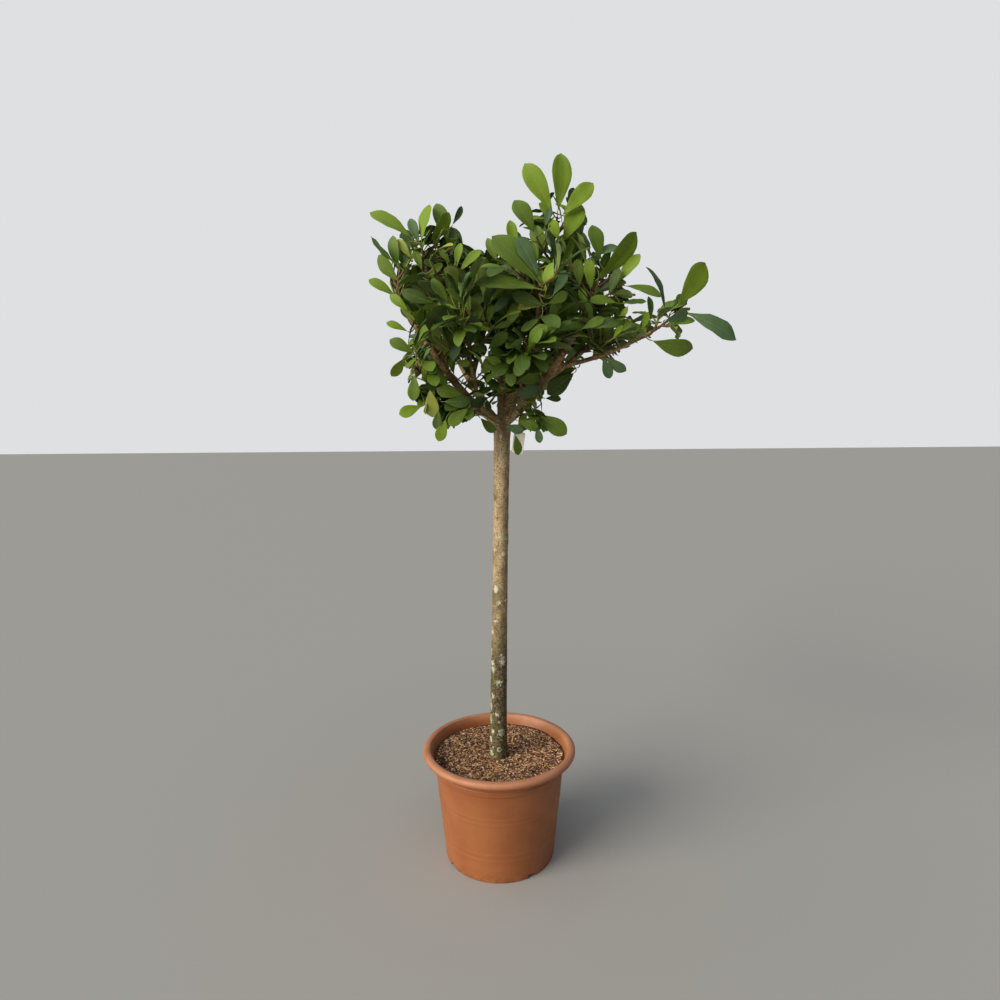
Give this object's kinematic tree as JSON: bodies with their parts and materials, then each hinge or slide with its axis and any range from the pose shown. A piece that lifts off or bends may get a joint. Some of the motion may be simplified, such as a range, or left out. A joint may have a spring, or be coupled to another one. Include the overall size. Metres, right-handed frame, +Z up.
{
  "type": "potted african fig",
  "caption": "African fig grown as a standard: a bare upright stem, splayed boughs and an open crown of large glossy leaves, in a round terracotta-coloured plastic pot of bark soil.",
  "frame": {"origin": "the middle of the pot's flat underside", "axes": "+Z up along the stem, -Y towards the viewer of the picture, +X to that viewer's right"},
  "size_m": [1.0254, 0.7658, 2.2244],
  "materials": {
    "pot": "terracotta-coloured moulded plastic with a soft sheen",
    "soil": "loose reddish-brown bark chips",
    "bark": "golden-beige mottled bark with pale lichen",
    "bough": "orange-tan to brown bark",
    "leaf": "glossy dark green leaves on green-brown twigs"
  },
  "bodies": {
    "root": {"pot": "pot", "soil": "soil", "trunk": "bark", "leftBough": "bough", "rightBough": "bough", "centreBough": "bough", "rearRightBough": "bough", "rearLeftBough": "bough", "rearBough": "bough", "leftTopBranch": "bough", "leftSideBranch": "bough", "leftMiddleBranch": "bough", "leftLowBranch": "bough", "frontLeftBranch": "bough", "forkLeftBranch": "bough", "frontBranch": "bough", "frontLowBranch": "bough", "rightTopBranch": "bough", "rightLowBranch": "bough", "reachBranch": "bough", "forkRightBranch": "bough", "rearRightBranch": "bough", "rearTopBranch": "bough", "leftTopLeaves": "leaf", "leftSideLeaves": "leaf", "leftMiddleLeaves": "leaf", "leftLowLeaves": "leaf", "frontLeftLeaves": "leaf", "frontLeaves": "leaf", "frontLowLeaves": "leaf", "heartLeaves": "leaf", "topLeaves": "leaf", "rightTopLeaves": "leaf", "rightLowLeaves": "leaf", "rightReachLeaves": "leaf", "rearTopLeaves": "leaf", "rearLeftLeaves": "leaf", "rearRightLeaves": "leaf", "rearLowLeaves": "leaf", "forkRightLeaves": "leaf", "forkLeftLeaves": "leaf"}
  },
  "joints": []
}
